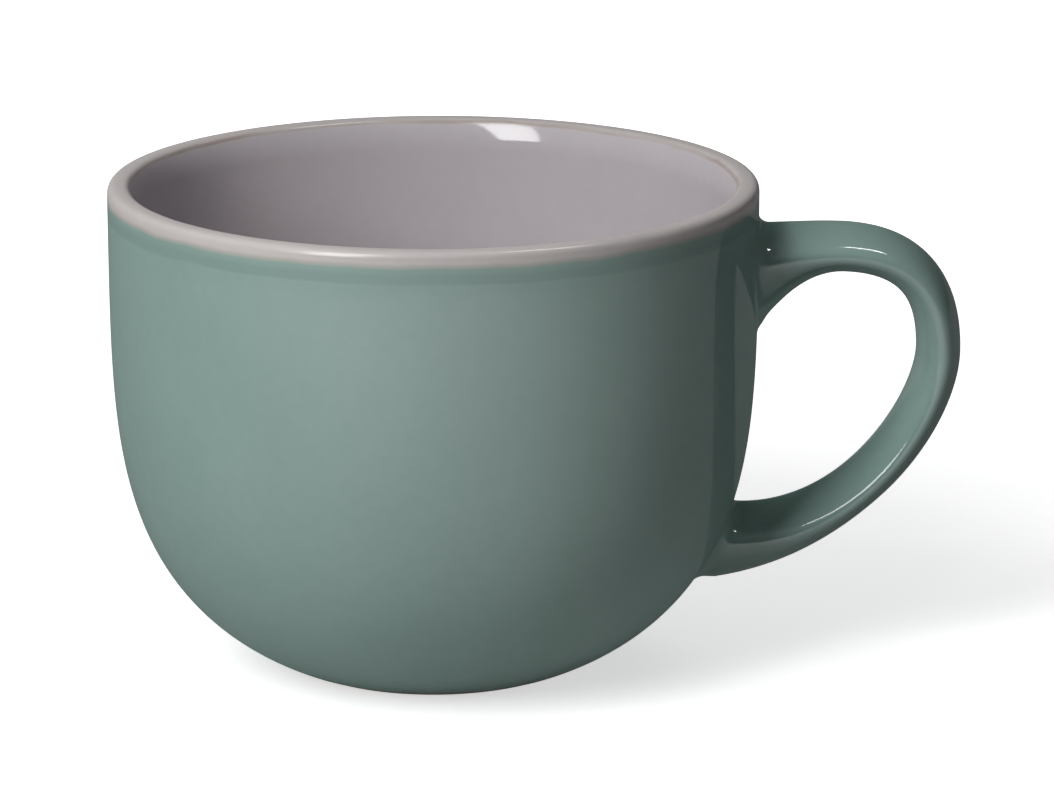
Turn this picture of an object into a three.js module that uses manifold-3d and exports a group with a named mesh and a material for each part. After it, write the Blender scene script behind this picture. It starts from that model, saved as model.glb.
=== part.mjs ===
// A round mug with one handle: green outside, white inside, bare clay at the foot.
// Millimetres, +Z up. The foot stands on Z 0 and the handle points to +X.
// The clay cup and the clay handle are made apart and stuck together with slip.
// Three coats of green glaze and one of white are then fired on to them.

import * as THREE from "three";
import { mergeVertices } from "three/addons/utils/BufferGeometryUtils.js";
import Module from "manifold-3d";

const wasm = await Module();
wasm.setup();

// Cup, measured over the glaze
const RIM_RADIUS = 58; // outside of the wall at the rim
const CUP_HEIGHT = 88; // table to the top of the lip
const LIP_THICKNESS = 4.2; // across the round of the lip
const LIP_POWER = 3; // how square that round is
const EASE_ANGLE = 32; // degrees by which the inside leans out at the lip's inner edge
const EASE_RADIUS = 9.4; // round from that edge down to the upright of the inner wall
const BELLY_POWER = 4.2; // how late the wall turns in towards the foot
const FLOOR_POWER = 3.3; // how flat the floor is inside
const WHITE_LAP = 0.2; // white coat on the outside, below the round of the lip

// Foot and floor
const FOOT_RADIUS = 26; // outer edge of the ring that stands on the table
const FOOT_WIDTH = 3; // flat of that ring
const FOOT_DRAFT = 1; // how far the hollow's side leans in
const HOLLOW_HEIGHT = 2.2; // table to the clay over the hollow
const FLOOR_THICKNESS = 4.6; // clay between the hollow and the inside
const BARE_HEIGHT = 1.2; // foot wiped clean of glaze

// Coats and fits
const GLAZE = 0.5; // each fired coat
const BEAD = 1; // slip squeezed out round each end of the handle
const FILLET = 2.4; // round that the glaze makes where the handle meets the wall
const FIT_GAP = 0.1; // left open where a piece is cut to fit another

// Handle, measured over the glaze along the middle of its strap
const UPPER_DROP = 14.1; // top of the lip down to the middle of the upper end
const LOWER_RISE = 23.1; // table up to the middle of the lower end
const UPPER_SINK = 1; // how far inside the wall's face the strap's middle line starts
const LOWER_SINK = 0.4; // and where it ends
const REACH = 32.6; // rim to the middle of the strap at its furthest
const BEND_SHARE = 0.662; // height of that furthest point, from the lower end to the upper
const UPPER_TILT = 7.8; // degrees by which the strap rises from the wall
const LOWER_TILT = -6.2; // degrees by which it rises from the wall at the lower end
const UPPER_PULL = 9.9; // how long the strap keeps each direction, as curve handles
const ABOVE_PULL = 24.4;
const BELOW_PULL = 12;
const LOWER_PULL = 24;
const UPPER_STRAP = 8.3; // thickness of the strap, which thins downwards
const LOWER_STRAP = 7.1;
const STRAP_WIDTH = 20.3; // width of the strap at its upper end
const NARROWING = 0.4; // how much narrower it is at its lower end
const UPPER_FLARE = 16.2; // length over which each end spreads to the wall
const LOWER_FLARE = 30;
const UPPER_SPREAD_IN = 7.7; // spread of each end, inside and outside the bend and sideways
const UPPER_SPREAD_OUT = 1.5;
const LOWER_SPREAD_IN = 1.1;
const LOWER_SPREAD_OUT = 5.2;
const SIDE_SPREAD = 0.8;

// Fineness of the facets
const TURN_STEPS = 48;
const WALL_STEPS = 12;
const FLOOR_STEPS = 11;
const LIP_STEPS = 8;
const EASE_STEPS = 3;
const STRAP_STEP = 4.5; // along the strap, in millimetres
const ROUND_STEPS = 4; // up the round between the wall and the strap
const ROOT_SHARES = [0.35, 0.7]; // shares of the way from that round to the plain strap
const SECTION_STEPS = 18;
const TURNS = Array.from({ length: SECTION_STEPS }, (_, i) => 2 * Math.PI * (i / SECTION_STEPS));

// Levels that follow from the sizes above
const WALL_TOP = CUP_HEIGHT - LIP_THICKNESS / 2;
const WALL_DEPTH = WALL_TOP / (1 - (FOOT_RADIUS / RIM_RADIUS) ** 2) ** (1 / BELLY_POWER);
const EASE_TURN = THREE.MathUtils.degToRad(EASE_ANGLE);
const EDGE_TURN = Math.PI - Math.atan(Math.tan(EASE_TURN) ** (LIP_POWER / (2 * LIP_POWER - 2)));
const EDGE = lipAt(EDGE_TURN).at;
const INSIDE_RADIUS = EDGE.x - EASE_RADIUS * (1 - Math.cos(EASE_TURN));
const INSIDE_TOP = EDGE.y - EASE_RADIUS * Math.sin(EASE_TURN);
const FLOOR_TOP = HOLLOW_HEIGHT + FLOOR_THICKNESS + GLAZE;
const FLOOR_DEPTH = INSIDE_TOP - FLOOR_TOP;

// Colours as they look in soft daylight
const GREEN = { color: 0x8aa198, roughness: 0.14, metalness: 0 };
const WHITE = { color: 0xc8c1c2, roughness: 0.12, metalness: 0 };
const CLAY = { color: 0xb0998a, roughness: 0.85, metalness: 0 };
const SLIP = { color: 0xa48f82, roughness: 0.85, metalness: 0 };

// Outside of the wall: a rounded square turned about the axis
function wallRadius(z) {
  const drop = Math.max(0, WALL_TOP - z) / WALL_DEPTH;
  return RIM_RADIUS * Math.sqrt(1 - drop ** BELLY_POWER);
}

// Points down a coat's face, each with the direction that leads out of the clay there
function wallFace() {
  const lap = new THREE.Vector2(wallRadius(WALL_TOP - WHITE_LAP), WALL_TOP - WHITE_LAP);
  const start = Math.acos(wallRadius(BARE_HEIGHT) / RIM_RADIUS);
  const end = Math.acos(lap.x / RIM_RADIUS);
  const face = [];
  for (let i = 0; i <= WALL_STEPS; i += 1) {
    const turn = start + (end - start) * (i / WALL_STEPS);
    const radius = RIM_RADIUS * Math.cos(turn);
    const z = WALL_TOP - WALL_DEPTH * Math.sin(turn) ** (2 / BELLY_POWER);
    const slope = (wallRadius(z + 0.01) - wallRadius(z - 0.01)) / 0.02;
    face.push({
      at: new THREE.Vector2(radius, z),
      out: new THREE.Vector2(1, -slope).normalize(),
    });
  }
  return face;
}

// The lip's round, a squarish half ring, at a turn from its outer side over the top
function lipAt(turn) {
  const half = LIP_THICKNESS / 2;
  const side = Math.sign(Math.cos(turn));
  const across = Math.abs(Math.cos(turn));
  const up = Math.sin(turn);
  const at = new THREE.Vector2(
    RIM_RADIUS - half + half * side * across ** (2 / LIP_POWER),
    WALL_TOP + half * up ** (2 / LIP_POWER),
  );
  const out = new THREE.Vector2(side * across ** (2 - 2 / LIP_POWER), up ** (2 - 2 / LIP_POWER));
  return { at, out: out.normalize() };
}

function lipFace() {
  return Array.from({ length: LIP_STEPS + 1 }, (_, i) => lipAt(EDGE_TURN * (i / LIP_STEPS)));
}

// The wider round from the lip's inner edge down to the inner wall
function easeFace() {
  return Array.from({ length: EASE_STEPS }, (_, i) => {
    const turn = EASE_TURN * (1 - (i + 1) / EASE_STEPS);
    const out = new THREE.Vector2(-Math.cos(turn), Math.sin(turn));
    const middle = new THREE.Vector2(INSIDE_RADIUS + EASE_RADIUS, INSIDE_TOP);
    return { at: middle.addScaledVector(out, EASE_RADIUS), out };
  });
}

function floorFace() {
  const face = [];
  for (let i = 1; i <= FLOOR_STEPS; i += 1) {
    const turn = (Math.PI / 2) * (i / FLOOR_STEPS);
    const across = i === FLOOR_STEPS ? 0 : Math.cos(turn);
    const down = Math.sin(turn);
    const radius = INSIDE_RADIUS * across ** (2 / FLOOR_POWER);
    const z = INSIDE_TOP - FLOOR_DEPTH * down ** (2 / BELLY_POWER);
    const sideways = FLOOR_POWER * (radius / INSIDE_RADIUS) ** (FLOOR_POWER - 1) / INSIDE_RADIUS;
    const upwards = BELLY_POWER * ((INSIDE_TOP - z) / FLOOR_DEPTH) ** (BELLY_POWER - 1) / FLOOR_DEPTH;
    face.push({
      at: new THREE.Vector2(radius, z),
      out: new THREE.Vector2(-sideways, upwards).normalize(),
    });
  }
  return face;
}

// The same face moved along its outward directions
function moved(face, distance) {
  return face.map(({ at, out }) => at.clone().addScaledVector(out, distance));
}

// Geometry with shared corners and no flattened triangles
function welded(geometry) {
  const bare = geometry.clone();
  bare.deleteAttribute("normal");
  bare.deleteAttribute("uv");
  const merged = mergeVertices(bare, 1e-4);
  const index = merged.index.array;
  const kept = [];
  for (let i = 0; i < index.length; i += 3) {
    const [a, b, c] = [index[i], index[i + 1], index[i + 2]];
    if (a !== b && b !== c && c !== a) {
      kept.push(a, b, c);
    }
  }
  merged.setIndex(kept);
  return merged;
}

function solid(geometry) {
  const merged = welded(geometry);
  return new wasm.Manifold(new wasm.Mesh({
    numProp: 3,
    vertProperties: new Float32Array(merged.attributes.position.array),
    triVerts: new Uint32Array(merged.index.array),
  }));
}

function turned(profile) {
  return new THREE.LatheGeometry(profile, TURN_STEPS).rotateX(Math.PI / 2);
}

function ringProfile(outer, inner) {
  return [...outer, ...[...inner].reverse(), outer[0]];
}

// Middle line of the strap, from the upper end to the lower one
const UPPER_Z = CUP_HEIGHT - UPPER_DROP;
const BEND_Z = LOWER_RISE + (UPPER_Z - LOWER_RISE) * BEND_SHARE;

function tilted(degrees) {
  const angle = THREE.MathUtils.degToRad(degrees);
  return new THREE.Vector3(Math.cos(angle), 0, Math.sin(angle));
}

function strapLine() {
  const upper = new THREE.Vector3(wallRadius(UPPER_Z) - UPPER_SINK, 0, UPPER_Z);
  const lower = new THREE.Vector3(wallRadius(LOWER_RISE) - LOWER_SINK, 0, LOWER_RISE);
  const bend = new THREE.Vector3(RIM_RADIUS + REACH, 0, BEND_Z);
  const line = new THREE.CurvePath();
  line.add(new THREE.CubicBezierCurve3(
    upper,
    upper.clone().addScaledVector(tilted(UPPER_TILT), UPPER_PULL),
    bend.clone().setZ(BEND_Z + ABOVE_PULL),
    bend,
  ));
  line.add(new THREE.CubicBezierCurve3(
    bend,
    bend.clone().setZ(BEND_Z - BELOW_PULL),
    lower.clone().addScaledVector(tilted(LOWER_TILT), LOWER_PULL),
    lower,
  ));
  return line;
}

const LINE = strapLine();
const LENGTH = LINE.getLength();
const BURIED = STRAP_WIDTH; // length of each end inside the cup, which is cut away afterwards
// Length of strap that can be at the wall
const ROOT_REACH = FILLET + LOWER_SINK + (LOWER_STRAP + LOWER_SPREAD_OUT) / 2;

// Where the strap is at a distance from its upper end, and which way it runs there
function strapAt(distance) {
  const share = THREE.MathUtils.clamp(distance / LENGTH, 0, 1);
  const along = LINE.getTangentAt(share);
  const at = LINE.getPointAt(share).addScaledVector(along, distance - share * LENGTH);
  const outside = new THREE.Vector3(-along.z, 0, along.x);
  const upper = THREE.MathUtils.clamp(1 - distance / UPPER_FLARE, 0, 1) ** 2;
  const lower = THREE.MathUtils.clamp(1 - (LENGTH - distance) / LOWER_FLARE, 0, 1) ** 2;
  const half = THREE.MathUtils.lerp(UPPER_STRAP, LOWER_STRAP, share) / 2;
  return {
    at,
    outside,
    out: half + upper * UPPER_SPREAD_OUT + lower * LOWER_SPREAD_OUT,
    in: half + upper * UPPER_SPREAD_IN + lower * LOWER_SPREAD_IN,
    side: (STRAP_WIDTH - NARROWING * share) / 2 + (upper + lower) * SIDE_SPREAD,
  };
}

// A point on the strap's oval section, grown by a distance
function strapPoint(distance, turn, growth) {
  const section = strapAt(distance);
  const up = Math.cos(turn);
  const reach = (up > 0 ? section.out : section.in) + growth;
  const point = section.at.addScaledVector(section.outside, up * reach);
  point.y = Math.sin(turn) * (section.side + growth);
  return point;
}

function heightOverWall(point) {
  return Math.hypot(point.x, point.y) - wallRadius(point.z);
}

// Distance at which one line along the strap is at a height over the wall, near one of its ends
function distanceAtHeight(height, turn, growth, end) {
  const towards = end > 0 ? -1 : 1;
  let near = -1.5 * ROOT_REACH;
  let far = ROOT_REACH;
  for (let i = 0; i < 24; i += 1) {
    const middle = (near + far) / 2;
    const point = strapPoint(end + towards * middle, turn, growth);
    if (heightOverWall(point) < height) {
      near = middle;
    } else {
      far = middle;
    }
  }
  return end + towards * near;
}

// Rings near one end of the strap, from inside the wall up the round to the plain strap.
// Each has the growth of its section there and the distances of its corners along the strap.
function rootRings(end, rounded) {
  const ring = (height, sideways) => {
    const growth = rounded ? sideways : 0;
    return { growth, distances: TURNS.map((turn) => distanceAtHeight(height, turn, growth, end)) };
  };
  const upTheRound = Array.from({ length: ROUND_STEPS + 1 }, (_, i) => {
    const turn = (Math.PI / 2) * (i / ROUND_STEPS);
    return ring(FILLET * (1 - Math.cos(turn)), FILLET * (1 - Math.sin(turn)));
  });
  const top = upTheRound[ROUND_STEPS].distances;
  const plain = Math.abs(end - ROOT_REACH);
  const onwards = ROOT_SHARES.map((share) => {
    return { growth: 0, distances: top.map((distance) => THREE.MathUtils.lerp(distance, plain, share)) };
  });
  return [ring(-FILLET / 2, FILLET), ...upTheRound, ...onwards];
}

function strapRings(rounded) {
  const ring = (distance) => ({ growth: 0, distances: TURNS.map(() => distance) });
  const span = LENGTH - 2 * ROOT_REACH;
  const count = Math.round(span / STRAP_STEP);
  return [
    ring(-BURIED),
    ...rootRings(0, rounded),
    ...Array.from({ length: count + 1 }, (_, i) => ring(ROOT_REACH + span * (i / count))),
    ...rootRings(LENGTH, rounded).reverse(),
    ring(LENGTH + BURIED),
  ];
}

const PLAIN_RINGS = strapRings(false);
const ROUNDED_RINGS = strapRings(true);

// The strap between its rings, with its section grown by a distance
function strap(ringsUsed, growth) {
  const rings = ringsUsed.map((ring) => ring.distances.map((distance, i) => {
    return strapPoint(distance, TURNS[i], growth + ring.growth);
  }));
  const corners = rings.flat();
  const faces = [];
  for (let r = 0; r + 1 < rings.length; r += 1) {
    for (let i = 0; i < SECTION_STEPS; i += 1) {
      const a = r * SECTION_STEPS + i;
      const b = r * SECTION_STEPS + (i + 1) % SECTION_STEPS;
      const c = a + SECTION_STEPS;
      const d = b + SECTION_STEPS;
      if (i < SECTION_STEPS / 2) {
        faces.push(a, d, b, a, c, d);
      } else {
        faces.push(a, c, b, b, c, d);
      }
    }
  }
  const last = corners.length - SECTION_STEPS;
  for (let i = 1; i + 1 < SECTION_STEPS; i += 1) {
    faces.push(0, i, i + 1);
    faces.push(last, last + i + 1, last + i);
  }
  const geometry = new THREE.BufferGeometry().setFromPoints(corners);
  geometry.setIndex(faces);
  return geometry;
}

// Faces that the coats and the clay share
const wall = wallFace();
const lap = wall[wall.length - 1];
const lining = [lap, ...lipFace(), ...easeFace(), ...floorFace()];
const wallSeen = moved(wall, 0);
const wallClay = moved(wall, -GLAZE);
const liningSeen = moved(lining, 0);
const liningClay = moved(lining, -GLAZE);

// The cup is clay from the hollow over the lip to the inside floor
const hollowEdge = FOOT_RADIUS - FOOT_WIDTH;
const bodyProfile = [
  new THREE.Vector2(0, HOLLOW_HEIGHT),
  new THREE.Vector2(hollowEdge - FOOT_DRAFT, HOLLOW_HEIGHT),
  new THREE.Vector2(hollowEdge, 0),
  new THREE.Vector2(FOOT_RADIUS, 0),
  ...wallClay,
  ...liningClay.slice(1),
];
const body = turned(bodyProfile);
const linerGlaze = turned([...[...liningClay].reverse(), ...liningSeen]);
const baseGlaze = turned([
  new THREE.Vector2(0, HOLLOW_HEIGHT - GLAZE),
  new THREE.Vector2(hollowEdge - FOOT_DRAFT - 2 * GLAZE, HOLLOW_HEIGHT - GLAZE),
  new THREE.Vector2(hollowEdge - FOOT_DRAFT - GLAZE, HOLLOW_HEIGHT),
  new THREE.Vector2(0, HOLLOW_HEIGHT),
]);

// Tools that cut the handle's ends to the wall and fill the seats with slip
const cutter = moved(wall, FIT_GAP);
const wallCutter = solid(turned([
  new THREE.Vector2(0, cutter[0].y),
  ...cutter,
  new THREE.Vector2(0, cutter[cutter.length - 1].y),
]));
const seat = solid(turned(ringProfile(wallSeen, moved(wall, FIT_GAP - GLAZE))));
const clayStrap = solid(strap(PLAIN_RINGS, -GLAZE));
const beadStrap = solid(strap(PLAIN_RINGS, BEAD - GLAZE));
const seatStrap = solid(strap(PLAIN_RINGS, BEAD - GLAZE + FIT_GAP));
const seenStrap = solid(strap(ROUNDED_RINGS, 0));

const handle = clayStrap.subtract(wallCutter);
const handleGlaze = seenStrap.subtract(clayStrap).subtract(wallCutter);
const outerGlaze = solid(turned(ringProfile(wallSeen, wallClay))).subtract(seatStrap);
const slips = beadStrap.intersect(seat).decompose();
slips.sort((a, b) => b.boundingBox().max[2] - a.boundingBox().max[2]);

// Scene graph
function fromSolid(shape) {
  const { vertProperties, triVerts } = shape.getMesh();
  const geometry = new THREE.BufferGeometry();
  geometry.setAttribute("position", new THREE.BufferAttribute(vertProperties, 3));
  geometry.setIndex(new THREE.BufferAttribute(triVerts, 1));
  return geometry;
}

const cup = new THREE.Group();

function addPiece(name, geometry, look) {
  const mesh = new THREE.Mesh(geometry, new THREE.MeshStandardMaterial(look));
  mesh.name = name;
  mesh.geometry.computeVertexNormals();
  cup.add(mesh);
}

addPiece("body", welded(body), CLAY);
addPiece("handle", fromSolid(handle), CLAY);
addPiece("upper_slip_joint", fromSolid(slips[0]), SLIP);
addPiece("lower_slip_joint", fromSolid(slips[1]), SLIP);
addPiece("liner_glaze", welded(linerGlaze), WHITE);
addPiece("outer_glaze", fromSolid(outerGlaze), GREEN);
addPiece("handle_glaze", fromSolid(handleGlaze), GREEN);
addPiece("base_glaze", welded(baseGlaze), GREEN);

// The origin is the middle of the whole footprint, so the cup's axis stands to the left of it
const footprint = new THREE.Box3().setFromObject(cup);
cup.position.x = -(footprint.min.x + footprint.max.x) / 2;

const mug = new THREE.Group();
mug.name = "mug";
mug.add(cup);

export default mug;
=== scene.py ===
import bisect
import math

import bpy
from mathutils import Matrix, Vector


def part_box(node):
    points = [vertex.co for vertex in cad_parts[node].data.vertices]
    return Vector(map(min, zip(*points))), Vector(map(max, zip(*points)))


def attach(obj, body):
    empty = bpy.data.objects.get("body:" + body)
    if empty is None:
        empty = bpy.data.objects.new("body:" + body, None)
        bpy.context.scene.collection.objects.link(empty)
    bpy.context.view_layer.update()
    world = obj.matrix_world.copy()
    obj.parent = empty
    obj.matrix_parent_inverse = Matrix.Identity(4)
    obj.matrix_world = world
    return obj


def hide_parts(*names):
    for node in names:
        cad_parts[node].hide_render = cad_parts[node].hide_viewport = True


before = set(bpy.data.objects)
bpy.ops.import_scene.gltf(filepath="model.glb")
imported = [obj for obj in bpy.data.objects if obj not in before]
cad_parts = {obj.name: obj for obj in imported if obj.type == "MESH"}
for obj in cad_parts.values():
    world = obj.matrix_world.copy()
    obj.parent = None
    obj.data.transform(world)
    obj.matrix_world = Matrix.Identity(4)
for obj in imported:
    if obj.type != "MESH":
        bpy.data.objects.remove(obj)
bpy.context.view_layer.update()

# A round mug with one looped handle: green glaze outside, white inside, bare clay at the foot.
# Metres, +Z up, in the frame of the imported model. The cup's axis is upright and the handle points to +X.

MM = 0.001

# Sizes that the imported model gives
liner_low, liner_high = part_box("liner_glaze")
AXIS = (liner_low.x + liner_high.x) / 2
RIM_RADIUS = (liner_high.x - liner_low.x) / 2
CUP_HEIGHT = liner_high.z

# Cup, measured over the glaze
LIP_THICKNESS = 4.2 * MM
LIP_POWER = 3
EASE_ANGLE = math.radians(32)
EASE_RADIUS = 9.4 * MM
BELLY_POWER = 4.2
FLOOR_POWER = 3.3
WHITE_LAP = 0.2 * MM

# Foot and floor
FOOT_RADIUS = 26 * MM
FOOT_WIDTH = 3 * MM
FOOT_DRAFT = 1 * MM
FOOT_ROUND = 0.5 * MM
HOLLOW_HEIGHT = 2.2 * MM
FLOOR_THICKNESS = 4.6 * MM
BARE_HEIGHT = 1.2 * MM

# Coats and fits
GLAZE = 0.5 * MM
BEAD = 1 * MM
FILLET = 2.4 * MM
FIT_GAP = 0.1 * MM
SKIRT = 0.8 * MM
SKIRT_DEPTH = 0.03 * MM
SLIP_COVER = 0.02 * MM

# Uneven edges of the coats at the foot
WAVE = 0.16 * MM
WAVES = ((1.0, 3, 0.4), (0.6, 8, 1.3), (0.3, 17, 0.0))
WAVE_REACH = 5 * MM
ROLL_DROP = 0.25 * MM
ROLL_SHARES = (0.2, 0.4, 0.6, 0.8)
BASE_THIN = 0.9
BASE_ROLL = 0.3
BASE_ROLL_RISE = (0.88, 0.95)
BASE_ROLL_FALL = (1.0, 0.97)
BASE_POWER = 24

# Handle, measured over the glaze along the middle of its strap
UPPER_DROP = 14.1 * MM
LOWER_RISE = 23.1 * MM
UPPER_SINK = 1 * MM
LOWER_SINK = 0.4 * MM
REACH = 32.6 * MM
BEND_SHARE = 0.662
UPPER_TILT = math.radians(7.8)
LOWER_TILT = math.radians(-6.2)
UPPER_PULL = 9.9 * MM
ABOVE_PULL = 24.4 * MM
BELOW_PULL = 12 * MM
LOWER_PULL = 24 * MM
UPPER_STRAP = 8.3 * MM
LOWER_STRAP = 7.1 * MM
STRAP_WIDTH = 20.3 * MM
NARROWING = 0.4 * MM
UPPER_FLARE = 16.2 * MM
LOWER_FLARE = 30 * MM
UPPER_SPREAD_IN = 7.7 * MM
UPPER_SPREAD_OUT = 1.5 * MM
LOWER_SPREAD_IN = 1.1 * MM
LOWER_SPREAD_OUT = 5.2 * MM
SIDE_SPREAD = 0.8 * MM

# Fineness of the meshes
TURN_STEPS = 256
FACE_STEP = 1 * MM
LIP_STEP = 0.15 * MM
EASE_STEPS = 24
SECTION_STEPS = 72
STRAP_STEP = 1 * MM
FILLET_STEPS = 9
ROOT_STEPS = 6
CAP_STEPS = 5
CAP_LEAST = 0.02
CORNER_STEPS = 5
HOLLOW_STEPS = 24
BASE_STEPS = 32
CURVE_STEPS = 600
HALVINGS = 32
ON_AXIS = 1e-7
SHARP_ANGLE = math.radians(38)

# Levels that follow from the sizes above
WALL_TOP = CUP_HEIGHT - LIP_THICKNESS / 2
WALL_DEPTH = WALL_TOP / (1 - (FOOT_RADIUS / RIM_RADIUS) ** 2) ** (1 / BELLY_POWER)
COLOUR_LINE = WALL_TOP - WHITE_LAP


def lip_point(turn):
    """A point of the lip's round, from its outer side over the top to its inner side."""
    half = LIP_THICKNESS / 2
    across = math.copysign(abs(math.cos(turn)) ** (2 / LIP_POWER), math.cos(turn))
    return RIM_RADIUS - half + half * across, WALL_TOP + half * math.sin(turn) ** (2 / LIP_POWER)


# The lip's round ends inside at an edge, and a wider round eases it into the inner wall
EDGE_TURN = math.pi - math.atan(math.tan(EASE_ANGLE) ** (LIP_POWER / (2 * LIP_POWER - 2)))
EDGE_RADIUS, EDGE_Z = lip_point(EDGE_TURN)
INSIDE_RADIUS = EDGE_RADIUS - EASE_RADIUS * (1 - math.cos(EASE_ANGLE))
INSIDE_TOP = EDGE_Z - EASE_RADIUS * math.sin(EASE_ANGLE)
FLOOR_TOP = HOLLOW_HEIGHT + FLOOR_THICKNESS + GLAZE
FLOOR_DEPTH = INSIDE_TOP - FLOOR_TOP


def smooth(low, high, value):
    """A share that eases from 0 at one value to 1 at another."""
    share = min(1.0, max(0.0, (value - low) / (high - low)))
    return share * share * (3 - 2 * share)


# Lines of the cup's section, as points of radius and height

def wall_radius(z):
    """Radius of the outside wall at a height."""
    drop = max(0.0, WALL_TOP - z) / WALL_DEPTH
    return RIM_RADIUS * math.sqrt(max(0.0, 1 - drop ** BELLY_POWER))


def evenly(line, step):
    """The same line with points at even distances."""
    lengths = [0.0]
    for start, end in zip(line, line[1:]):
        lengths.append(lengths[-1] + math.dist(start, end))
    count = max(2, round(lengths[-1] / step))
    points = []
    for i in range(count + 1):
        length = lengths[-1] * i / count
        k = min(max(bisect.bisect_right(lengths, length) - 1, 0), len(line) - 2)
        share = (length - lengths[k]) / (lengths[k + 1] - lengths[k])
        points.append(tuple(a + (b - a) * share for a, b in zip(line[k], line[k + 1])))
    return points


def into_clay(line, distance):
    """The line moved to the left of its direction, which is into the clay on every face below."""
    points = []
    for i, (radius, z) in enumerate(line):
        before = line[max(0, i - 1)]
        after = line[min(len(line) - 1, i + 1)]
        run = (after[0] - before[0], after[1] - before[1])
        length = math.hypot(*run)
        moved = max(0.0, radius - run[1] / length * distance)
        points.append((moved, z + run[0] / length * distance))
    return points


def wall_line():
    """The outside wall, from the bare foot up to the colour line."""
    rise = COLOUR_LINE - BARE_HEIGHT
    heights = [BARE_HEIGHT + rise * i / CURVE_STEPS for i in range(CURVE_STEPS + 1)]
    return evenly([(wall_radius(z), z) for z in heights], FACE_STEP)


def lip_line():
    """From the colour line up, over the lip and down to the edge inside it."""
    lap = (wall_radius(COLOUR_LINE), COLOUR_LINE)
    over = [lip_point(EDGE_TURN * i / CURVE_STEPS) for i in range(CURVE_STEPS + 1)]
    return evenly([lap] + over, LIP_STEP)


def ease_line():
    """The wider round below the lip's edge."""
    points = []
    for i in range(EASE_STEPS + 1):
        turn = EASE_ANGLE * (1 - i / EASE_STEPS)
        radius = INSIDE_RADIUS + EASE_RADIUS * (1 - math.cos(turn))
        points.append((radius, INSIDE_TOP + EASE_RADIUS * math.sin(turn)))
    return points


def inside_line():
    """From the foot of that round down to the middle of the floor."""
    points = []
    for i in range(CURVE_STEPS + 1):
        turn = math.pi / 2 * (i / CURVE_STEPS) ** 2
        across = math.cos(turn) if i < CURVE_STEPS else 0.0
        z = INSIDE_TOP - FLOOR_DEPTH * math.sin(turn) ** (2 / BELLY_POWER)
        points.append((INSIDE_RADIUS * across ** (2 / FLOOR_POWER), z))
    return evenly(points, FACE_STEP)


def bent(start, corner, end, t):
    """A point of the curve that leaves its start towards a corner and comes from there to its end."""
    s = 1 - t
    return tuple(a * s ** 2 + c * 2 * t * s + b * t ** 2 for a, c, b in zip(start, corner, end))


def rounded_corner(corner, before, after, size):
    """Points that round a corner between two directions."""
    start = (corner[0] + before[0] * size, corner[1] + before[1] * size)
    end = (corner[0] + after[0] * size, corner[1] + after[1] * size)
    return [bent(start, corner, end, i / CORNER_STEPS) for i in range(CORNER_STEPS + 1)]


# Meshes

def turned(loop, shape=None):
    """Corners and faces of a closed section turned about the cup's axis."""
    corners = []
    rows = []
    for radius, z in loop:
        if radius < ON_AXIS:
            rows.append([len(corners)] * TURN_STEPS)
            corners.append((AXIS, 0.0, z))
            continue
        rows.append(list(range(len(corners), len(corners) + TURN_STEPS)))
        for step in range(TURN_STEPS):
            turn = 2 * math.pi * step / TURN_STEPS
            r, height = shape(radius, z, turn) if shape else (radius, z)
            corners.append((AXIS + r * math.cos(turn), r * math.sin(turn), height))
    faces = []
    for low, high in zip(rows, rows[1:] + rows[:1]):
        for step in range(TURN_STEPS):
            following = (step + 1) % TURN_STEPS
            face = list(dict.fromkeys([low[step], low[following], high[following], high[step]]))
            if len(face) > 2:
                faces.append(face)
    return corners, faces


def lofted(rings, closed):
    """Corners and faces between rings of points. A closed loft joins its last ring to its first."""
    count = len(rings[0])
    corners = [point for ring in rings for point in ring]
    pairs = len(rings) if closed else len(rings) - 1
    faces = []
    for r in range(pairs):
        low = r * count
        high = (r + 1) % len(rings) * count
        for i in range(count):
            following = (i + 1) % count
            faces.append([low + i, low + following, high + following, high + i])
    if not closed:
        faces.append(list(range(count - 1, -1, -1)))
        faces.append(list(range(len(corners) - count, len(corners))))
    return corners, faces


def volume(corners, faces):
    """Volume inside the faces, below zero where they look inwards."""
    total = 0.0
    for face in faces:
        first = Vector(corners[face[0]])
        for b, c in zip(face[1:], face[2:]):
            total += first.dot(Vector(corners[b]).cross(Vector(corners[c])))
    return total / 6


def add_piece(name, shape, material, node):
    """A closed piece, with its faces outwards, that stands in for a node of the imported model."""
    corners, faces = shape
    if volume(corners, faces) < 0:
        faces = [face[::-1] for face in faces]
    mesh = bpy.data.meshes.new(name)
    mesh.from_pydata(corners, [], faces)
    mesh.validate()
    mesh.shade_smooth()
    mesh.set_sharp_from_angle(angle=SHARP_ANGLE)
    mesh.materials.append(material)
    piece = bpy.data.objects.new(name, mesh)
    bpy.context.scene.collection.objects.link(piece)
    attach(piece, "root")
    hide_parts(node)


# Middle line of the strap, from the upper end to the lower one, in the plane of the handle

UPPER_Z = CUP_HEIGHT - UPPER_DROP
BEND_Z = LOWER_RISE + (UPPER_Z - LOWER_RISE) * BEND_SHARE
UPPER_END = Vector((wall_radius(UPPER_Z) - UPPER_SINK, UPPER_Z))
LOWER_END = Vector((wall_radius(LOWER_RISE) - LOWER_SINK, LOWER_RISE))
BEND = Vector((RIM_RADIUS + REACH, BEND_Z))
UPPER_CURVE = [
    UPPER_END,
    UPPER_END + UPPER_PULL * Vector((math.cos(UPPER_TILT), math.sin(UPPER_TILT))),
    BEND + Vector((0, ABOVE_PULL)),
    BEND,
]
LOWER_CURVE = [
    BEND,
    BEND - Vector((0, BELOW_PULL)),
    LOWER_END + LOWER_PULL * Vector((math.cos(LOWER_TILT), math.sin(LOWER_TILT))),
    LOWER_END,
]


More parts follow.
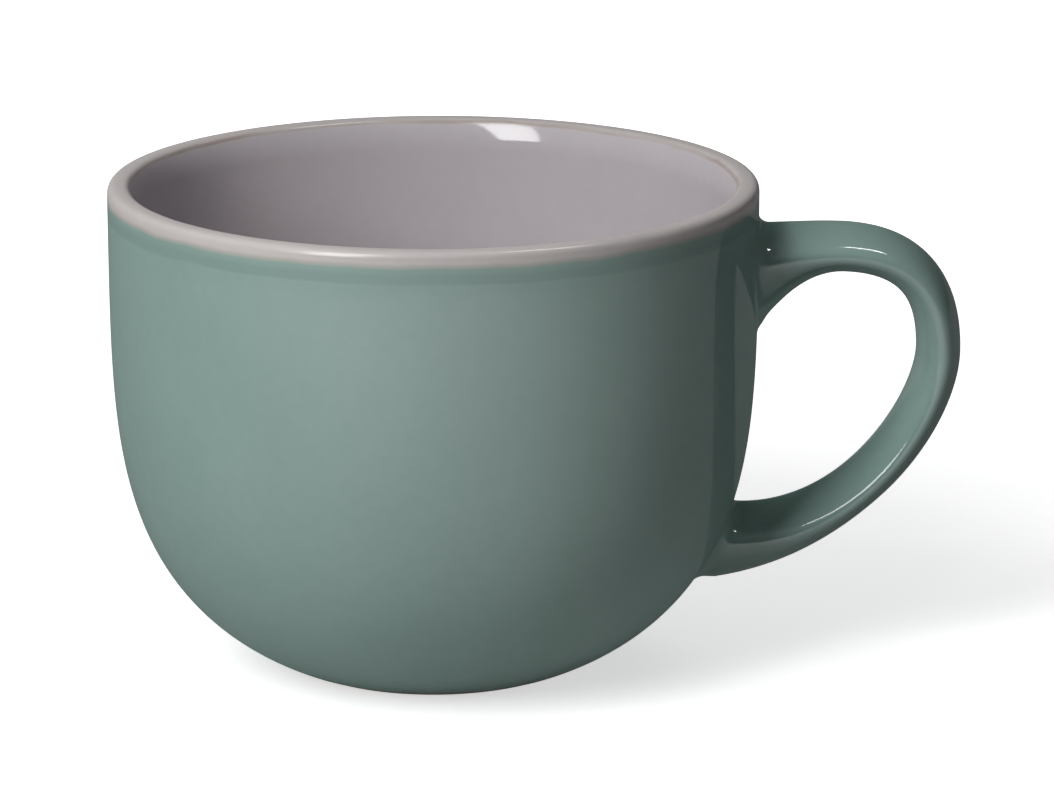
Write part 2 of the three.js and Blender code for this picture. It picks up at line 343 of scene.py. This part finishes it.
def on_curve(curve, t):
    """A point of a curve through four control points."""
    a, b, c, d = curve
    s = 1 - t
    return a * s ** 3 + b * (3 * s * s * t) + c * (3 * s * t * t) + d * t ** 3


def along_curve(curve, t):
    """Direction of that curve."""
    a, b, c, d = curve
    s = 1 - t
    return ((b - a) * (s * s) + (c - b) * (2 * s * t) + (d - c) * (t * t)).normalized()


strap_places = [
    (curve, i / CURVE_STEPS)
    for curve in (UPPER_CURVE, LOWER_CURVE)
    for i in range(CURVE_STEPS + 1)
]
strap_lengths = [0.0]
for place, following in zip(strap_places, strap_places[1:]):
    strap_lengths.append(strap_lengths[-1] + (on_curve(*following) - on_curve(*place)).length)
STRAP_LENGTH = strap_lengths[-1]
ROOT_REACH = FILLET + LOWER_SINK + (LOWER_STRAP + LOWER_SPREAD_OUT) / 2
SEARCH_REACH = 1.5 * ROOT_REACH


def strap_at(distance):
    """Where the strap's middle is, which way is out of the bend, and the section's half sizes."""
    inside = min(STRAP_LENGTH, max(0.0, distance))
    k = min(max(bisect.bisect_right(strap_lengths, inside) - 1, 0), len(strap_places) - 2)
    curve, t = strap_places[k]
    step = strap_lengths[k + 1] - strap_lengths[k]
    if step > 0 and strap_places[k + 1][0] is curve:
        t += (inside - strap_lengths[k]) / step / CURVE_STEPS
    along = along_curve(curve, t)
    at = on_curve(curve, t) + along * (distance - inside)
    share = inside / STRAP_LENGTH
    upper = min(1.0, max(0.0, 1 - distance / UPPER_FLARE)) ** 2
    lower = min(1.0, max(0.0, 1 - (STRAP_LENGTH - distance) / LOWER_FLARE)) ** 2
    half = (UPPER_STRAP + (LOWER_STRAP - UPPER_STRAP) * share) / 2
    out_half = half + upper * UPPER_SPREAD_OUT + lower * LOWER_SPREAD_OUT
    in_half = half + upper * UPPER_SPREAD_IN + lower * LOWER_SPREAD_IN
    side_half = (STRAP_WIDTH - NARROWING * share) / 2 + (upper + lower) * SIDE_SPREAD
    return at, Vector((-along.y, along.x)), out_half, in_half, side_half


def strap_point(distance, turn, growth, share=1.0):
    """A point of the strap's oval section, grown by a distance and shrunk to a share.

    X is measured from the cup's axis.
    """
    at, outside, out_half, in_half, side_half = strap_at(distance)
    up = math.cos(turn)
    reach = ((out_half if up > 0 else in_half) + growth) * share * up
    return Vector((
        at.x + outside.x * reach,
        math.sin(turn) * (side_half + growth) * share,
        at.y + outside.y * reach,
    ))


def over_wall(point):
    """Height of a point over the face of the wall."""
    return math.hypot(point.x, point.y) - wall_radius(point.z)


def distance_over_wall(height, turn, growth, share, end):
    """Distance along the strap at which one of its lines is at a height over the wall."""
    towards = -1 if end > 0 else 1
    near = -SEARCH_REACH
    far = SEARCH_REACH
    for _ in range(HALVINGS):
        middle = (near + far) / 2
        if over_wall(strap_point(end + towards * middle, turn, growth, share)) < height:
            near = middle
        else:
            far = middle
    return end + towards * near


SECTION_TURNS = [2 * math.pi * i / SECTION_STEPS for i in range(SECTION_STEPS)]


def placed(point):
    """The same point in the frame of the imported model."""
    return (point.x + AXIS, point.y, point.z)


def wall_ring(height, growth, end, share=1.0):
    """A ring round the strap at one height over the wall."""
    ring = []
    for turn in SECTION_TURNS:
        distance = distance_over_wall(height, turn, growth, share, end)
        ring.append(placed(strap_point(distance, turn, growth, share)))
    return ring


def root_rings(height, growth, end):
    """Rings from one height over the wall to the first plain section of the strap."""
    plain = abs(end - ROOT_REACH)
    starts = [distance_over_wall(height, turn, growth, 1.0, end) for turn in SECTION_TURNS]
    rings = []
    for i in range(1, ROOT_STEPS):
        share = i / ROOT_STEPS
        rings.append([
            placed(strap_point(start + (plain - start) * share, turn, growth))
            for start, turn in zip(starts, SECTION_TURNS)
        ])
    return rings


def middle_rings(growth):
    """Rings of the plain strap between its two roots."""
    span = STRAP_LENGTH - 2 * ROOT_REACH
    count = round(span / STRAP_STEP)
    return [
        [placed(strap_point(ROOT_REACH + span * i / count, turn, growth)) for turn in SECTION_TURNS]
        for i in range(count + 1)
    ]


def fillet_rings(end):
    """Rings of the round that the glaze makes between the wall and the strap, from the wall upwards."""
    rings = [wall_ring(-SKIRT_DEPTH, FILLET + SKIRT, end)]
    for i in range(FILLET_STEPS + 1):
        turn = math.pi / 2 * i / FILLET_STEPS
        rings.append(wall_ring(FILLET * (1 - math.cos(turn)), FILLET * (1 - math.sin(turn)), end))
    return rings


def strap_skin():
    """Rings over the glaze, from the upper wall to the lower one."""
    upper = fillet_rings(0) + root_rings(FILLET, 0, 0)
    lower = fillet_rings(STRAP_LENGTH) + root_rings(FILLET, 0, STRAP_LENGTH)
    return upper + middle_rings(0) + lower[::-1]


def strap_clay():
    """Rings of the clay under that glaze."""
    upper = [wall_ring(FIT_GAP, -GLAZE, 0)] + root_rings(FIT_GAP, -GLAZE, 0)
    lower = [wall_ring(FIT_GAP, -GLAZE, STRAP_LENGTH)] + root_rings(FIT_GAP, -GLAZE, STRAP_LENGTH)
    return upper + middle_rings(-GLAZE) + lower[::-1]


def end_rings(height, growth, end):
    """Rings that close one end of the strap along the wall, from its middle outwards."""
    shares = [i / CAP_STEPS for i in range(CAP_STEPS)]
    return [wall_ring(height, growth, end, max(share, CAP_LEAST)) for share in shares]


def slip_pad(end):
    """The pad of slip under one end of the strap, just below the face of the wall."""
    growth = BEAD - GLAZE
    top = -SLIP_COVER
    bottom = FIT_GAP - GLAZE
    upper = end_rings(top, growth, end) + [wall_ring(top, growth, end)]
    lower = end_rings(bottom, growth, end) + [wall_ring(bottom, growth, end)]
    return lofted(upper + lower[::-1], False)


# Materials

SPOT_CORE = 0.4
CHOICE_BLUR = 0.01


class Paint:
    """Builds the nodes of one material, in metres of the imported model's frame."""

    def __init__(self, name):
        self.material = bpy.data.materials.new(name)
        self.material.use_nodes = True
        self.tree = self.material.node_tree
        self.shader = self.tree.nodes["Principled BSDF"]
        self.place = self.node("ShaderNodeTexCoord").outputs["Object"]
        parts = self.node("ShaderNodeSeparateXYZ", {"Vector": self.place}).outputs
        self.right = parts["X"]
        self.back = parts["Y"]
        self.height = parts["Z"]
        from_axis = self.vectors("ADD", self.place, (-AXIS, 0, 0)).outputs[0]
        level = self.vectors("MULTIPLY", from_axis, (1, 1, 0)).outputs[0]
        self.radius = self.vectors("LENGTH", level).outputs["Value"]

    def put(self, node, key, value):
        """Links a socket to an input, or sets the input to a plain value."""
        if isinstance(value, bpy.types.NodeSocket):
            self.tree.links.new(value, node.inputs[key])
        else:
            node.inputs[key].default_value = value

    def node(self, kind, inputs=None, **settings):
        """Adds a node and fills its inputs."""
        node = self.tree.nodes.new(kind)
        for key, value in settings.items():
            setattr(node, key, value)
        for key, value in (inputs or {}).items():
            self.put(node, key, value)
        return node

    def noise(self, size, detail):
        """Soft clouds of about a size."""
        inputs = {"Vector": self.place, "Scale": 1 / size, "Detail": detail}
        return self.node("ShaderNodeTexNoise", inputs).outputs["Fac"]

    def between(self, value, low, high, first=0.0, last=1.0, kind="SMOOTHSTEP"):
        """Goes from the first result at the low value to the last one at the high value."""
        inputs = {"Value": value, "From Min": low, "From Max": high, "To Min": first, "To Max": last}
        return self.node("ShaderNodeMapRange", inputs, interpolation_type=kind).outputs["Result"]

    def vectors(self, operation, *values):
        return self.node("ShaderNodeVectorMath", dict(enumerate(values)), operation=operation)

    def maths(self, operation, *values):
        return self.node("ShaderNodeMath", dict(enumerate(values)), operation=operation).outputs["Value"]

    def mix(self, share, first, second):
        """Mixes two colours, which are inputs 6 and 7 and output 2 of a mix node."""
        inputs = {0: share, 6: first, 7: second}
        return self.node("ShaderNodeMix", inputs, data_type="RGBA").outputs[2]

    def bump(self, height, depth, under=None):
        """Fine relief, on top of another one if there is one."""
        inputs = {"Height": height, "Distance": depth, "Strength": 1.0}
        if under:
            inputs["Normal"] = under
        return self.node("ShaderNodeBump", inputs).outputs["Normal"]

    def specks(self, cell, size, share):
        """Small spots, one in each of a share of the cells."""
        inputs = {"Vector": self.place, "Scale": 1 / cell}
        cells = self.node("ShaderNodeTexVoronoi", inputs)
        spot = self.between(cells.outputs["Distance"], size / cell, SPOT_CORE * size / cell)
        chosen = self.node("ShaderNodeSeparateColor", {"Color": cells.outputs["Color"]}).outputs["Red"]
        return self.maths("MULTIPLY", spot, self.between(chosen, 1 - share, 1 - share + CHOICE_BLUR))


# Colours of the glazes and the clay
GREEN_DEEP = (0.240, 0.350, 0.320, 1)
GREEN_PALE = (0.262, 0.372, 0.342, 1)
# Darker green of the band that is a painted reflection below the white
GREEN_REFLECTION_BAND = (0.222, 0.326, 0.297, 1)
LIP_COOL = (0.545, 0.509, 0.503, 1)
LIP_WARM = (0.580, 0.537, 0.522, 1)
# White inside the cup, a little darker than the lip's: painted shade
INSIDE_SHADED_COOL = (0.512, 0.479, 0.508, 1)
INSIDE_SHADED_WARM = (0.546, 0.506, 0.525, 1)
EDGE_WARM = (0.470, 0.400, 0.345, 1)
LIP_BROWN = (0.300, 0.215, 0.175, 1)
SPECK_BROWN = (0.075, 0.062, 0.050, 1)
CLAY_PALE = (0.470, 0.350, 0.280, 1)
CLAY_DEEP = (0.360, 0.255, 0.200, 1)
SLIP_PALE = (0.410, 0.305, 0.250, 1)
SLIP_DEEP = (0.320, 0.235, 0.190, 1)

# Tone of the glaze
CLOUD_SIZE = 26 * MM
CLOUD_RANGE = (0.3, 0.7)
CLOUD_SHARE = 0.65
FINE_SIZE = 2.2 * MM
FINE_RANGE = (0.25, 0.75)
FINE_SHARE = 0.35
SPECK_CELL = 15 * MM
SPECK_SIZE = 0.28 * MM
SPECK_SHARE = 0.1
SPECK_STRENGTH = 0.7

# Line between the green and the white, and how far it wanders
WANDER_SIZE = 9 * MM
WANDER_RANGE = (0.2, 0.8)
WANDER = 0.25 * MM
FADE_BELOW = 0.9 * MM
FADE_ABOVE = 0.5 * MM
EDGE_STRENGTH = 1.3

# Darker green band below the line between the green and the white, measured down from that line: a painted
# reflection in the gloss under the lip
REFLECTION_BAND_DEPTH = 3.4 * MM
REFLECTION_BAND_BLUR = 0.3 * MM
REFLECTION_BAND_FADE = 0.8 * MM
REFLECTION_BAND_FULL = 2.2 * MM

# Inside of the cup, measured in from the rim, where the white is painted a little darker than on the lip
# as painted shade, and the brown line where the lip's edge breaks the glaze
INNER_START = 0.7 * MM
INNER_END = 1.6 * MM
INSIDE_FADE = 0.7 * MM
BREAK_START = 2.4 * MM
BREAK_END = 3.2 * MM
BREAK_HALF = 0.5 * MM
BREAK_CORE = 0.1 * MM
BREAK_PATCH = 16 * MM
BREAK_RANGE = (0.35, 0.65)
BREAK_FAINT = 0.18
BREAK_STRONG = 0.5

# Gloss of the glaze
SMEAR_SIZE = 14 * MM
SMEAR_LOW = 0.05
SMEAR_HIGH = 0.10
LIP_DULL = 0.15
PEEL_SIZE = 5.5 * MM
PEEL_DEPTH = 0.012 * MM
SWELL_SIZE = 22 * MM
SWELL_DEPTH = 0.08 * MM
GLOSS = 0.62
GLOSS_FADE = 4
GLASS_IOR = 1.5

# Bare clay
CLAY_CLOUD = 7 * MM
GRAIN_CELL = 0.9 * MM
GRAIN_SIZE = 0.16 * MM
GRAIN_SHARE = 0.5
GRAIN_STRENGTH = 0.55
CLAY_DULL = 0.92
CLAY_WORN = 0.78
TOOTH_SIZE = 0.5 * MM
TOOTH_DEPTH = 0.05 * MM
RING_PITCH = 0.7 * MM
RING_DEPTH = 0.015 * MM


def glaze(name, lines_the_cup):
    """Fired glaze: green up to the line below the lip and white above it, with a warm edge between, and a
    painted reflection as a darker band in the green below that line.
    """
    paint = Paint(name)
    cloud = paint.between(paint.noise(CLOUD_SIZE, detail=3.0), *CLOUD_RANGE)
    fine = paint.between(paint.noise(FINE_SIZE, detail=2.0), *FINE_RANGE)
    tone = paint.maths("MULTIPLY_ADD", fine, FINE_SHARE, paint.maths("MULTIPLY", cloud, CLOUD_SHARE))
    green = paint.mix(tone, GREEN_DEEP, GREEN_PALE)
    white = paint.mix(tone, LIP_COOL, LIP_WARM)
    wander = paint.noise(WANDER_SIZE, detail=2.0)
    wander = paint.between(wander, *WANDER_RANGE, -WANDER, WANDER, "LINEAR")
    level = paint.maths("ADD", paint.height, wander)
    # Painted reflection: a darker green band a few millimetres below the colour line, with a sharp lower
    # edge
    reflection_band_bottom = COLOUR_LINE - REFLECTION_BAND_DEPTH
    over_band_bottom = paint.between(level, reflection_band_bottom - REFLECTION_BAND_BLUR, reflection_band_bottom + REFLECTION_BAND_BLUR)
    under_band_top = paint.between(level, COLOUR_LINE - REFLECTION_BAND_FADE, COLOUR_LINE - REFLECTION_BAND_FULL)
    green = paint.mix(paint.maths("MULTIPLY", over_band_bottom, under_band_top), green, GREEN_REFLECTION_BAND)
    above = paint.between(level, COLOUR_LINE - FADE_BELOW, COLOUR_LINE + FADE_ABOVE)
    if lines_the_cup:
        inner = paint.between(paint.radius, RIM_RADIUS - INNER_START, RIM_RADIUS - INNER_END)
        above = paint.maths("MAXIMUM", above, inner)
        # Painted shade: the inside of the cup gets a darker copy of the lip's white
        lined = paint.maths("MULTIPLY", paint.between(level, EDGE_Z, EDGE_Z - INSIDE_FADE), inner)
        white = paint.mix(lined, white, paint.mix(tone, INSIDE_SHADED_COOL, INSIDE_SHADED_WARM))
    colour = paint.mix(above, green, white)
    below = paint.maths("SUBTRACT", 1.0, above)
    edge = paint.maths("MULTIPLY", paint.maths("MULTIPLY", above, below), EDGE_STRENGTH)
    colour = paint.mix(edge, colour, EDGE_WARM)
    if lines_the_cup:
        off = paint.maths("ABSOLUTE", paint.maths("SUBTRACT", level, EDGE_Z))
        line = paint.between(off, BREAK_HALF, BREAK_CORE)
        within = paint.between(paint.radius, RIM_RADIUS - BREAK_START, RIM_RADIUS - BREAK_END)
        patchy = paint.noise(BREAK_PATCH, detail=3.0)
        patchy = paint.between(patchy, *BREAK_RANGE, BREAK_FAINT, BREAK_STRONG)
        line = paint.maths("MULTIPLY", paint.maths("MULTIPLY", line, within), patchy)
        colour = paint.mix(line, colour, LIP_BROWN)
    spots = paint.maths("MULTIPLY", paint.specks(SPECK_CELL, SPECK_SIZE, SPECK_SHARE), SPECK_STRENGTH)
    paint.put(paint.shader, "Base Color", paint.mix(spots, colour, SPECK_BROWN))
    dull = paint.between(paint.noise(SMEAR_SIZE, detail=3.0), *CLOUD_RANGE, SMEAR_LOW, SMEAR_HIGH)
    if lines_the_cup:
        dull = paint.maths("ADD", dull, paint.between(lined, 0.0, 1.0, LIP_DULL, 0.0, "LINEAR"))
    paint.put(paint.shader, "Roughness", dull)
    peel = paint.bump(paint.noise(PEEL_SIZE, detail=1.0), PEEL_DEPTH)
    swell = paint.bump(paint.noise(SWELL_SIZE, detail=1.0), SWELL_DEPTH, peel)
    paint.put(paint.shader, "Normal", swell)
    glance = paint.node("ShaderNodeLayerWeight", {"Blend": 0.5}).outputs["Facing"]
    straight = paint.maths("POWER", paint.maths("SUBTRACT", 1.0, glance), GLOSS_FADE)
    paint.put(paint.shader, "Specular IOR Level", paint.maths("MULTIPLY", straight, GLOSS))
    paint.put(paint.shader, "IOR", GLASS_IOR)
    return paint.material


def fired_clay(name, pale, deep):
    """Bare clay: dry and grainy, with the fine rings that trimming leaves."""
    paint = Paint(name)
    cloud = paint.between(paint.noise(CLAY_CLOUD, detail=4.0), *CLOUD_RANGE)
    colour = paint.mix(cloud, deep, pale)
    grains = paint.specks(GRAIN_CELL, GRAIN_SIZE, GRAIN_SHARE)
    colour = paint.mix(paint.maths("MULTIPLY", grains, GRAIN_STRENGTH), colour, SPECK_BROWN)
    paint.put(paint.shader, "Base Color", colour)
    paint.put(paint.shader, "Roughness", paint.between(cloud, 0.0, 1.0, CLAY_DULL, CLAY_WORN))
    rings = paint.maths("SINE", paint.maths("MULTIPLY", paint.radius, 2 * math.pi / RING_PITCH))
    tooth = paint.bump(paint.noise(TOOTH_SIZE, detail=3.0), TOOTH_DEPTH)
    paint.put(paint.shader, "Normal", paint.bump(rings, RING_DEPTH, tooth))
    return paint.material


green_glaze = glaze("green_glaze", False)
white_glaze = glaze("white_glaze", True)
clay = fired_clay("clay", CLAY_PALE, CLAY_DEEP)
slip = fired_clay("slip", SLIP_PALE, SLIP_DEEP)


# Pieces

wall = wall_line()
lining = lip_line() + ease_line()[1:] + inside_line()[1:]
wall_clay = into_clay(wall, GLAZE)
lining_clay = into_clay(lining, GLAZE)
hollow_edge = FOOT_RADIUS - FOOT_WIDTH


def cup_clay():
    """The clay cup: hollow under the foot, foot ring, wall, lip and inside."""
    ceiling = [(hollow_edge * i / HOLLOW_STEPS, HOLLOW_HEIGHT) for i in range(HOLLOW_STEPS - 2)]
    draft = math.hypot(FOOT_DRAFT, HOLLOW_HEIGHT)
    up_draft = (-FOOT_DRAFT / draft, HOLLOW_HEIGHT / draft)
    inner = rounded_corner((hollow_edge, 0), up_draft, (1, 0), FOOT_ROUND)
    first = wall_clay[0]
    rise = math.dist((FOOT_RADIUS, 0), first)
    up_wall = ((first[0] - FOOT_RADIUS) / rise, first[1] / rise)
    outer = rounded_corner((FOOT_RADIUS, 0), (-1, 0), up_wall, FOOT_ROUND)
    return turned(ceiling + inner + outer + wall_clay + lining_clay[1:])


def glaze_edge(radius, z, turn):
    """The coat ends in a slightly wavy line above the foot."""
    wave = sum(size * math.sin(count * turn + start) for size, count, start in WAVES)
    lift = WAVE * wave * (1 - smooth(BARE_HEIGHT, BARE_HEIGHT + WAVE_REACH, z))
    return radius + wall_radius(z + lift) - wall_radius(z), z + lift


def outer_coat():
    """The green coat, which ends in a round roll above the foot."""
    start = wall[0]
    end = wall_clay[0]
    low = ((start[0] + end[0]) / 2, (start[1] + end[1]) / 2 - ROLL_DROP)
    roll = [bent(end, low, start, t) for t in ROLL_SHARES]
    return turned(roll + wall + wall_clay[::-1], glaze_edge)


def inside_coat():
    """The white coat, over the lip and down to the middle of the floor."""
    return turned(lining + lining_clay[::-1])


def base_coat():
    """The coat in the hollow of the foot, with a low roll round its edge."""
    edge = hollow_edge - FOOT_DRAFT - GLAZE
    face = []
    for i in range(BASE_STEPS + 1):
        share = i / BASE_STEPS
        roll = smooth(*BASE_ROLL_RISE, share) * smooth(*BASE_ROLL_FALL, share)
        thickness = GLAZE * (BASE_THIN + BASE_ROLL * roll) * math.sqrt(max(0.0, 1 - share ** BASE_POWER))
        face.append((edge * share, HOLLOW_HEIGHT - thickness))
    return turned(face + [(0.0, HOLLOW_HEIGHT)])


add_piece("cup_clay", cup_clay(), clay, "body")
add_piece("outside_glaze", outer_coat(), green_glaze, "outer_glaze")
add_piece("inside_glaze", inside_coat(), white_glaze, "liner_glaze")
add_piece("foot_glaze", base_coat(), green_glaze, "base_glaze")

clay_rings = strap_clay()
handle_rings = end_rings(FIT_GAP, -GLAZE, 0) + clay_rings + end_rings(FIT_GAP, -GLAZE, STRAP_LENGTH)[::-1]
add_piece("handle_clay", lofted(handle_rings, False), clay, "handle")
coat_rings = strap_skin() + clay_rings[::-1]
add_piece("handle_coat", lofted(coat_rings, True), green_glaze, "handle_glaze")
add_piece("upper_slip", slip_pad(0), slip, "upper_slip_joint")
add_piece("lower_slip", slip_pad(STRAP_LENGTH), slip, "lower_slip_joint")


# Floor, light and camera

# The floor and the sheet as they are seen
FLOOR_SIZE = 6.0
FLOOR_SEEN = (0.50, 0.50, 0.50, 1)
FLOOR_DIM = 0.68
SHEET_SEEN = (0.88, 0.88, 0.88, 1)
SHEET_RADIUS = 388 * MM
SHEET_BLUR = 6 * MM
SHEET_BACK = 200 * MM

# Colour of the floor for the light it throws up, painted: more near the cup, less far from it, and less on
# the handle's side as painted shade
BOUNCE_NEAR = (0.60, 0.60, 0.60, 1)
BOUNCE_FAR = (0.20, 0.20, 0.20, 1)
BOUNCE_START = 40 * MM
BOUNCE_END = 200 * MM
SHADE_START = 40 * MM
SHADE_END = 70 * MM

# Light of the floor itself, which keeps the background white, weaker near the cup as painted shade round
# it
GLOW_NEAR = 0.6
GLOW_FAR = 0.9
GLOW_START = 100 * MM
GLOW_END = 400 * MM


def floor_material():
    """Pale floor that keeps the shadow, and a paler sheet on it, round in front and long behind. Its glow
    is weaker near the cup and the light it throws up is less on the handle's side, both painted shade.
    """
    paint = Paint("floor")
    path = paint.node("ShaderNodeLightPath").outputs
    shown = paint.maths("MAXIMUM", path["Is Camera Ray"], path["Is Glossy Ray"])
    shown = paint.maths("MAXIMUM", shown, path["Is Transmission Ray"])
    behind = paint.between(paint.back, SHEET_BACK - SHEET_BLUR, SHEET_BACK + SHEET_BLUR)
    sheet = paint.between(paint.radius, SHEET_RADIUS + SHEET_BLUR, SHEET_RADIUS - SHEET_BLUR)
    sheet = paint.maths("MAXIMUM", sheet, behind)
    seen = paint.mix(sheet, FLOOR_SEEN, SHEET_SEEN)
    bounce_shade = paint.between(paint.radius, BOUNCE_START, BOUNCE_END)
    # Painted shade: less light thrown up on the handle's side of the cup
    bounce_shade = paint.maths("MAXIMUM", bounce_shade, paint.between(paint.right, SHADE_START, SHADE_END))
    bounce = paint.mix(bounce_shade, BOUNCE_NEAR, BOUNCE_FAR)
    paint.put(paint.shader, "Base Color", paint.mix(shown, bounce, seen))
    # Painted shade: the glow is weaker near the cup
    glow = paint.between(paint.radius, GLOW_START, GLOW_END, GLOW_NEAR, GLOW_FAR)
    glow = paint.maths("MULTIPLY", glow, paint.between(sheet, 0.0, 1.0, FLOOR_DIM, 1.0, "LINEAR"))
    paint.put(paint.shader, "Emission Color", (1, 1, 1, 1))
    paint.put(paint.shader, "Emission Strength", paint.maths("MULTIPLY", shown, glow))
    paint.put(paint.shader, "Roughness", 1.0)
    paint.put(paint.shader, "Specular IOR Level", 0.0)
    return paint.material


floor_mesh = bpy.data.meshes.new("floor")
floor_corners = [(x * FLOOR_SIZE, y * FLOOR_SIZE, 0) for x, y in ((-1, -1), (1, -1), (1, 1), (-1, 1))]
floor_mesh.from_pydata(floor_corners, [], [(0, 1, 2, 3)])
floor_mesh.materials.append(floor_material())
floor = bpy.data.objects.new("floor", floor_mesh)
bpy.context.scene.collection.objects.link(floor)

# Light from above and a little from the left, fading towards the horizon
SKY_LOW = 0.01
SKY_HIGH = 0.30
SKY_EDGE = 0.35
SKY_TOWARDS = (-0.45, -0.15, 0.88)
SKY_COLOUR = (0.97, 0.99, 1.0, 1)
world = bpy.data.worlds.new("studio")
world.use_nodes = True
sky = world.node_tree
direction = sky.nodes.new("ShaderNodeTexCoord")
facing = sky.nodes.new("ShaderNodeVectorMath")
facing.operation = "DOT_PRODUCT"
facing.inputs[1].default_value = SKY_TOWARDS
sky.links.new(direction.outputs["Generated"], facing.inputs[0])
brightness = sky.nodes.new("ShaderNodeMapRange")
brightness.interpolation_type = "SMOOTHSTEP"
brightness.inputs["From Min"].default_value = SKY_EDGE
brightness.inputs["To Min"].default_value = SKY_LOW
brightness.inputs["To Max"].default_value = SKY_HIGH
sky.links.new(facing.outputs["Value"], brightness.inputs["Value"])
background = sky.nodes["Background"]
background.inputs["Color"].default_value = SKY_COLOUR
sky.links.new(brightness.outputs["Result"], background.inputs["Strength"])
bpy.context.scene.world = world

# Middle of the cup, at which the lights and the camera point
MIDDLE = Vector((AXIS, 0, 45 * MM))


def away(around, up, distance):
    """A point round the cup's middle: degrees round from the front, degrees up, and a distance."""
    turn = math.radians(around)
    rise = math.radians(up)
    flat = distance * math.cos(rise)
    return MIDDLE + Vector((flat * math.sin(turn), -flat * math.cos(turn), distance * math.sin(rise)))


def add_light(name, place, width, height, power):
    """A flat light that faces the cup, with its sides in metres and its power in watts."""
    data = bpy.data.lights.new(name, "AREA")
    data.shape = "RECTANGLE"
    data.size = width
    data.size_y = height
    data.energy = power
    light = bpy.data.objects.new(name, data)
    light.location = place
    light.rotation_euler = (MIDDLE - place).to_track_quat("-Z", "Y").to_euler()
    bpy.context.scene.collection.objects.link(light)
    return light


# The lamp shows only as a glint in the gloss, and the soft lights don't show in it
add_light("window", away(-36, 36, 0.65), width=0.2, height=0.48, power=3.2)
lamp = add_light("lamp", away(86, 69, 0.8), width=0.05, height=0.24, power=2.2)
lamp.visible_diffuse = False
soft_lights = [
    add_light("left", away(-75, 60, 0.8), width=0.1, height=0.1, power=0.32),
    add_light("right", away(75, 20, 0.8), width=0.2, height=0.2, power=0.36),
    add_light("room", away(-174, 24, 0.9), width=0.6, height=0.4, power=2.0),
]
for light in soft_lights:
    light.visible_glossy = False

# Camera, fitted to the photograph
CAMERA_DISTANCE = 900 * MM
CAMERA_UP = 14.9
CAMERA_SENSOR = 36
CAMERA_FAR = 100
FOCAL_PIXELS = 4994
PHOTO_WIDTH = 1054
AIM_RIGHT = 16.65 * MM
AIM_UP = 3.33 * MM
camera_data = bpy.data.cameras.new("camera")
camera_data.sensor_fit = "HORIZONTAL"
camera_data.sensor_width = CAMERA_SENSOR
camera_data.lens = CAMERA_SENSOR * FOCAL_PIXELS / PHOTO_WIDTH
camera_data.clip_end = CAMERA_FAR
camera = bpy.data.objects.new("camera", camera_data)
bpy.context.scene.collection.objects.link(camera)
camera.location = away(0, CAMERA_UP, CAMERA_DISTANCE)
to_middle = (MIDDLE - camera.location).normalized()
right = to_middle.cross(Vector((0, 0, 1))).normalized()
upwards = right.cross(to_middle)
aim = MIDDLE + right * AIM_RIGHT + upwards * AIM_UP
camera.rotation_euler = (aim - camera.location).to_track_quat("-Z", "Y").to_euler()
bpy.context.scene.camera = camera

bpy.context.scene.view_settings.view_transform = "Standard"
